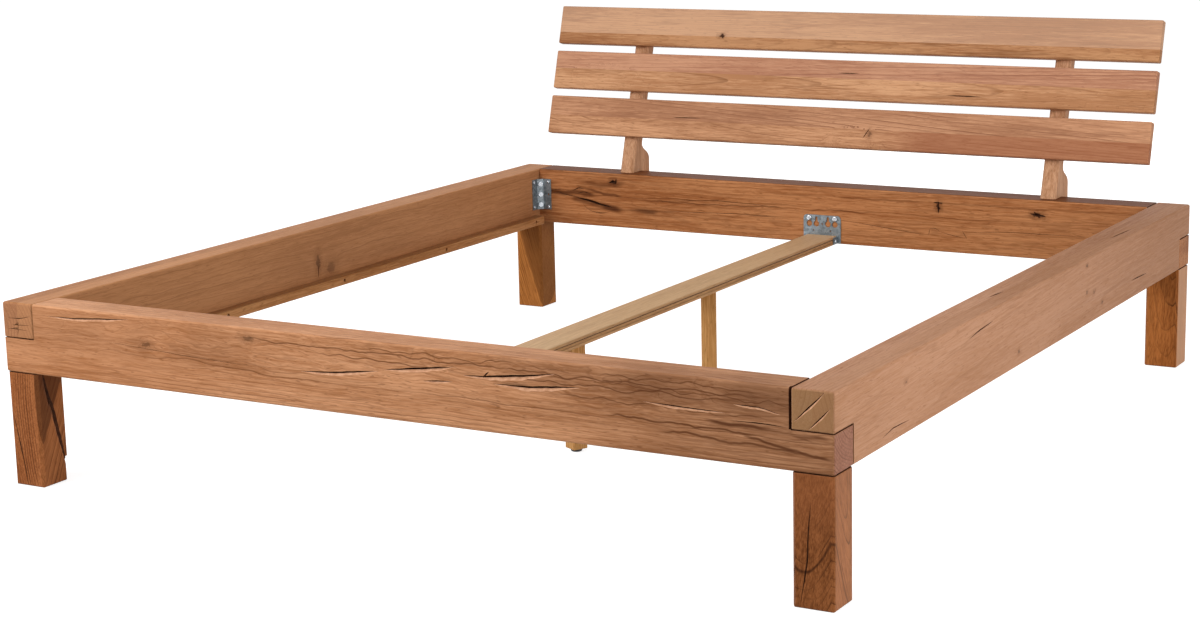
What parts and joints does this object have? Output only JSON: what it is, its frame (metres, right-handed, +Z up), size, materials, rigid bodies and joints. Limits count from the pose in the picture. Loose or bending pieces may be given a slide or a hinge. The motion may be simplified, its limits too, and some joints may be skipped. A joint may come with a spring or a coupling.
{
  "type": "wooden beam bed",
  "caption": "Double bed of solid timber beams half lapped at the corners on square block legs, with a leaning slatted headboard and a removable centre rail on screw feet.",
  "frame": {"origin": "on the floor, in the middle of the footprint", "axes": "+X to the right seen from the foot end, +Y from foot to head, +Z up"},
  "size_m": [1.97, 2.2952, 0.8688],
  "materials": {
    "end_beam_timber": "oiled heartwood with open checks and dark streaks",
    "side_beam_timber": "oiled heartwood, pinkish tan",
    "leg_timber": "oiled heartwood, darker brown",
    "slat_timber": "oiled heartwood, glued from two strips",
    "post_timber": "oiled heartwood",
    "rail_timber": "plain sanded hardwood",
    "ledger_timber": "plain sanded hardwood",
    "dowel_timber": "fluted hardwood dowel",
    "zinc_sheet": "galvanised sheet with spangle",
    "zinc_fastener": "bright zinc plate",
    "black_plastic": "moulded, fine texture"
  },
  "bodies": {
    "frame": {"foot_beam": "end_beam_timber", "head_beam": "end_beam_timber", "left_side_beam": "side_beam_timber", "right_side_beam": "side_beam_timber", "front_left_leg": "leg_timber", "front_left_bracket": "zinc_sheet", "front_right_leg": "leg_timber", "front_right_bracket": "zinc_sheet", "rear_left_leg": "leg_timber", "rear_left_bracket": "zinc_sheet", "rear_right_leg": "leg_timber", "rear_right_bracket": "zinc_sheet", "leg_studs": "zinc_fastener", "lap_dowels": "dowel_timber", "front_corner_bolts": "zinc_fastener", "front_hook_screws": "zinc_fastener", "rear_corner_bolts": "zinc_fastener", "rear_hook_screws": "zinc_fastener", "bracket_screws": "zinc_fastener", "left_ledger": "ledger_timber", "left_ledger_screws": "zinc_fastener", "left_headboard_post": "post_timber", "right_ledger": "ledger_timber", "right_ledger_screws": "zinc_fastener", "right_headboard_post": "post_timber", "bottom_slat": "slat_timber", "middle_slat": "slat_timber", "top_slat": "slat_timber", "post_bolts": "zinc_fastener", "post_washers": "zinc_fastener", "slat_screws": "zinc_fastener", "post_dowels": "dowel_timber"},
    "centre_rail": {"centre_rail": "rail_timber", "front_rail_plate": "zinc_sheet", "rear_rail_plate": "zinc_sheet", "front_rail_plate_screws": "zinc_fastener", "rear_rail_plate_screws": "zinc_fastener", "front_foot_insert": "zinc_fastener", "rear_foot_insert": "zinc_fastener"},
    "front_foot_bolt": {"front_foot_bolt": "zinc_fastener"},
    "front_foot": {"front_centre_foot": "rail_timber", "front_foot_glide": "black_plastic"},
    "rear_foot_bolt": {"rear_foot_bolt": "zinc_fastener"},
    "rear_foot": {"rear_centre_foot": "rail_timber", "rear_foot_glide": "black_plastic"}
  },
  "joints": [
    {"name": "centre_rail_lift", "type": "slide", "parent": "frame", "child": "centre_rail", "axis": [0, 0, 1], "range_m": [0, 0.016]},
    {"name": "front_foot_height", "type": "slide", "parent": "centre_rail", "child": "front_foot_bolt", "axis": [0, 0, -1], "range_m": [0, 0.0075]},
    {"name": "front_foot_turn", "type": "hinge", "parent": "front_foot_bolt", "child": "front_foot", "pos_m": [0, -0.38263, 0.13], "axis": [0, 0, -1], "range_deg": [0, 2160]},
    {"name": "rear_foot_height", "type": "slide", "parent": "centre_rail", "child": "rear_foot_bolt", "axis": [0, 0, -1], "range_m": [0, 0.0075]},
    {"name": "rear_foot_turn", "type": "hinge", "parent": "rear_foot_bolt", "child": "rear_foot", "pos_m": [0, 0.27737, 0.13], "axis": [0, 0, -1], "range_deg": [0, 2160]}
  ],
  "couplings": [
    {"joint": "front_foot_height", "follows": "front_foot_turn", "m_per_rad": 0.00019894},
    {"joint": "rear_foot_height", "follows": "rear_foot_turn", "m_per_rad": 0.00019894}
  ]
}
